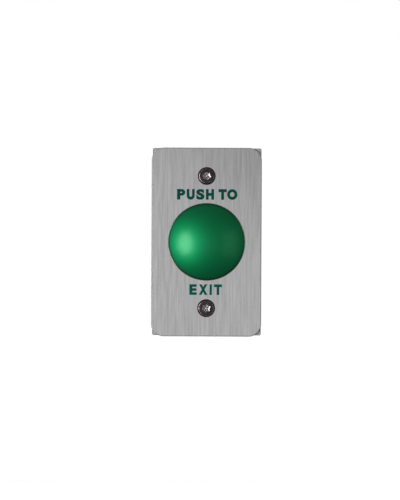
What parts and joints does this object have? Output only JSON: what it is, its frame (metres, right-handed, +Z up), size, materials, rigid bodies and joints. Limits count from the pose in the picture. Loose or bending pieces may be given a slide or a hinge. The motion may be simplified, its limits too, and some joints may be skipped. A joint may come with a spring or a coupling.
{
  "type": "door exit button",
  "caption": "Flush wall plate with a domed green push button that works a normally open and a normally closed contact block behind the plate.",
  "frame": {"origin": "on the wall plane, midway between the two plate screws, on the button's axis", "axes": "+X to the right seen from the front, +Y into the wall, +Z up; the button faces -Y"},
  "size_m": [0.07, 0.073, 0.12],
  "materials": {
    "brushed_stainless": "vertical brushed grain",
    "light_grey_foam": "closed-cell foam, fine pores",
    "black_screw": "satin black nickel",
    "chromed_brass": "bright chrome",
    "black_rubber": "smooth rubber",
    "zinc_plated_steel": "zinc plated, turned",
    "green_anodised": "satin green anodised",
    "turned_aluminium": "fine turned",
    "spring_steel": "drawn wire",
    "white_nylon": "moulded",
    "black_nylon": "fine sparked texture",
    "dark_grey_case": "fine sparked texture",
    "green_plunger": "moulded",
    "red_plunger": "moulded",
    "contact_brass": "stamped strip"
  },
  "bodies": {
    "housing": {"faceplate": "brushed_stainless", "plate_gasket": "light_grey_foam", "plate_screws": "black_screw", "operator_bezel": "chromed_brass", "bezel_seal": "black_rubber", "lock_washer": "zinc_plated_steel", "lock_nut": "zinc_plated_steel", "stem_seal": "black_rubber", "return_spring": "spring_steel", "spring_retainer": "zinc_plated_steel", "retaining_ring": "spring_steel", "contact_carrier": "black_nylon", "carrier_screw": "zinc_plated_steel", "no_case": "dark_grey_case", "no_cover": "dark_grey_case", "no_contacts": "contact_brass", "no_spring": "spring_steel", "nc_case": "dark_grey_case", "nc_cover": "dark_grey_case", "nc_contacts": "contact_brass", "nc_spring": "spring_steel", "terminal_clamps": "zinc_plated_steel", "terminal_screws": "zinc_plated_steel"},
    "button": {"mushroom_head": "green_anodised", "stem": "turned_aluminium", "pusher_plate": "white_nylon", "pusher_screw": "zinc_plated_steel"},
    "no_plunger": {"no_plunger": "green_plunger", "no_bridge": "contact_brass"},
    "nc_plunger": {"nc_plunger": "red_plunger", "nc_bridge": "contact_brass"}
  },
  "joints": [
    {"name": "button_push", "type": "slide", "parent": "housing", "child": "button", "axis": [0, 1, 0], "range_m": [0, 0.004], "stiffness_N_per_m": 900, "springref_m": -0.006, "deforming": ["return_spring"]},
    {"name": "no_plunger_push", "type": "slide", "parent": "housing", "child": "no_plunger", "axis": [0, 1, 0], "range_m": [0, 0.004], "stiffness_N_per_m": 150, "springref_m": -0.004, "deforming": ["no_spring"]},
    {"name": "nc_plunger_push", "type": "slide", "parent": "housing", "child": "nc_plunger", "axis": [0, 1, 0], "range_m": [0, 0.004], "stiffness_N_per_m": 150, "springref_m": -0.004, "deforming": ["nc_spring"]}
  ],
  "couplings": [
    {"joint": "no_plunger_push", "follows": "button_push", "ratio": 1},
    {"joint": "nc_plunger_push", "follows": "button_push", "ratio": 1}
  ]
}
